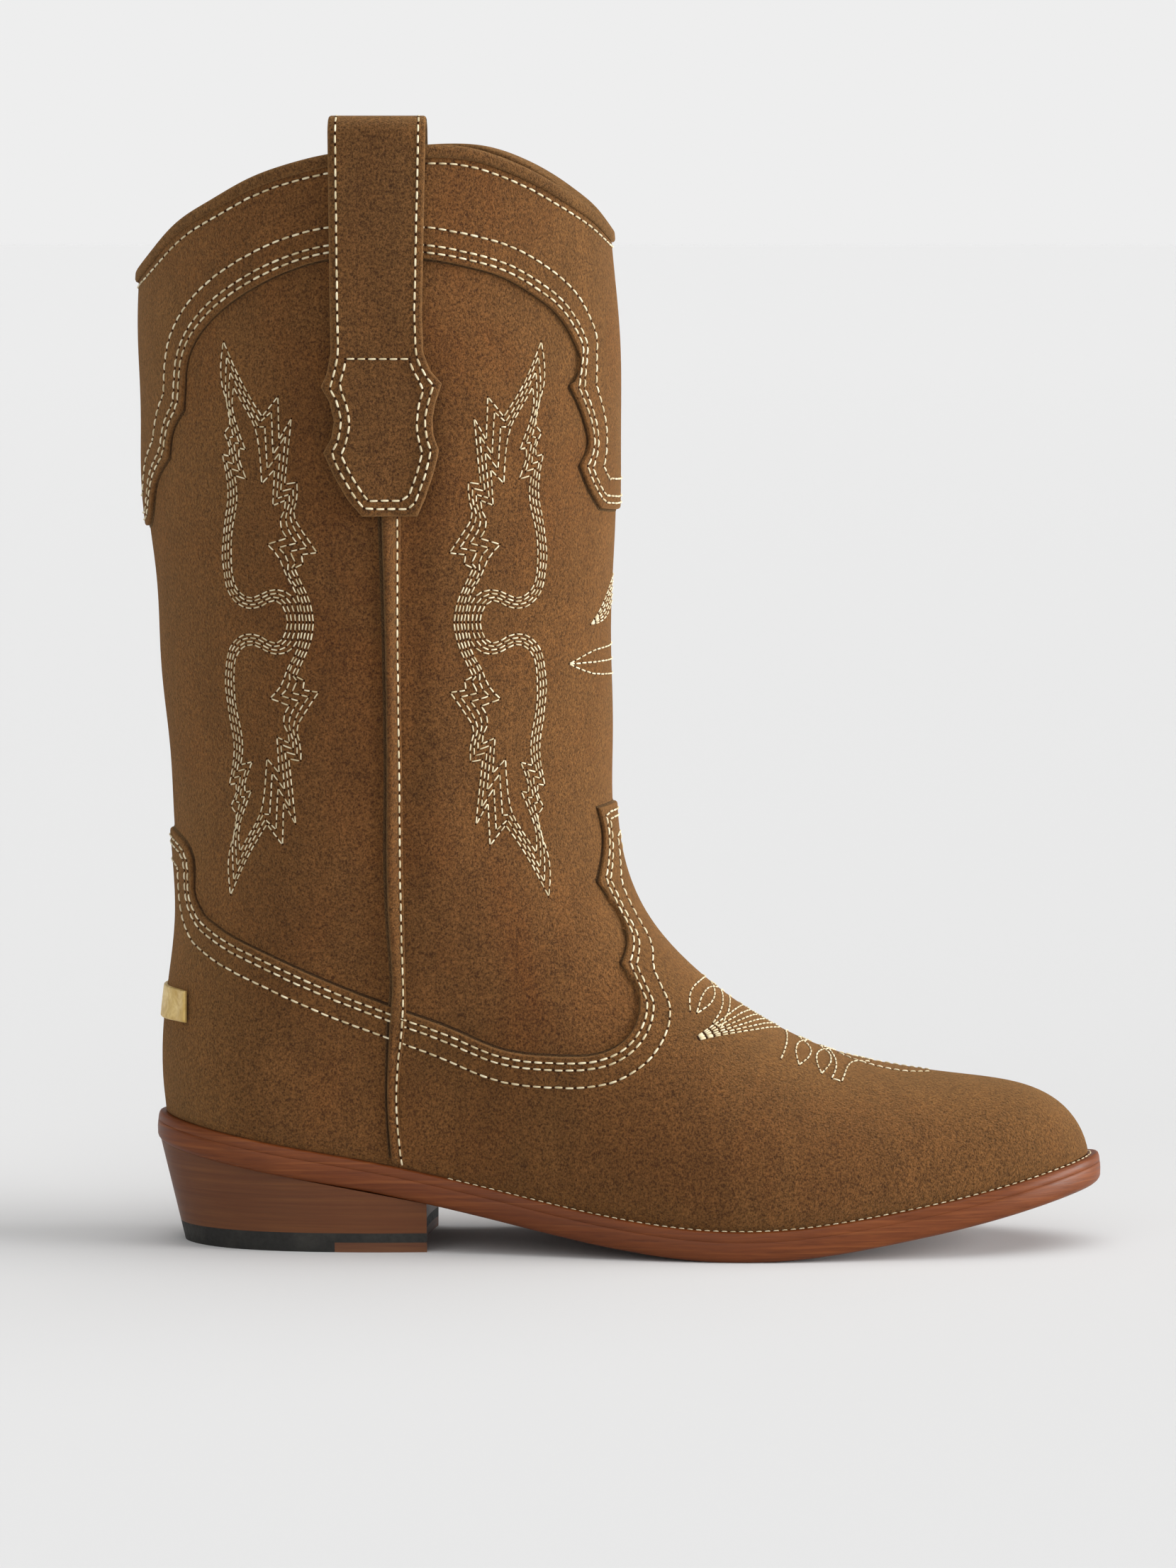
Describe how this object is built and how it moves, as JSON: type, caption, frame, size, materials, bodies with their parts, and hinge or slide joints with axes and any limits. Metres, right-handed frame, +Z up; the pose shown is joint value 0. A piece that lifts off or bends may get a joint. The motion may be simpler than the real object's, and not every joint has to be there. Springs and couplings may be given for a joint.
{
  "type": "cowboy boot",
  "caption": "Brown suede western boot with scalloped collar, pull straps, side piping, welted leather sole and stacked block heel.",
  "frame": {"origin": "centre of the flat underside of the heel, on the floor", "axes": "+X from the heel to the toe, +Y to the inner (medial) side of the right foot, +Z up the shaft"},
  "size_m": [0.2848, 0.1116, 0.3318],
  "materials": {
    "shaft_suede": "napped suede, russet brown",
    "foot_suede": "napped suede, olive brown",
    "binding_leather": "smooth folded strip",
    "lining_leather": "smooth undyed lining",
    "stiffener": "hard vegetable-tanned board",
    "sole_leather": "burnished edge, low gloss",
    "heel_leather": "stacked and burnished, low gloss",
    "heel_rubber": "matt black",
    "cork": "pressed cork granules",
    "steel": "plain",
    "gold_foil": "metallic foil on leather"
  },
  "bodies": {
    "root": {"shaft_front": "shaft_suede", "shaft_back": "shaft_suede", "collar_front": "shaft_suede", "collar_back": "shaft_suede", "side_piping_lateral": "shaft_suede", "side_piping_medial": "shaft_suede", "pull_strap_lateral": "shaft_suede", "pull_strap_medial": "shaft_suede", "vamp": "foot_suede", "counter_cover": "foot_suede", "top_binding_front": "binding_leather", "top_binding_back": "binding_leather", "lining_front": "lining_leather", "lining_back": "lining_leather", "vamp_lining": "lining_leather", "sock_liner": "lining_leather", "vamp_interlining": "stiffener", "toe_box": "stiffener", "heel_counter": "stiffener", "insole": "stiffener", "welt": "sole_leather", "outsole": "sole_leather", "heel_lift_1": "heel_leather", "heel_lift_2": "heel_leather", "heel_lift_3": "heel_leather", "heel_lift_4": "heel_leather", "top_lift_leather": "heel_leather", "top_lift_rubber": "heel_rubber", "cork_filler": "cork", "shank": "steel", "heel_nails": "steel", "heel_tab": "gold_foil"}
  },
  "joints": []
}
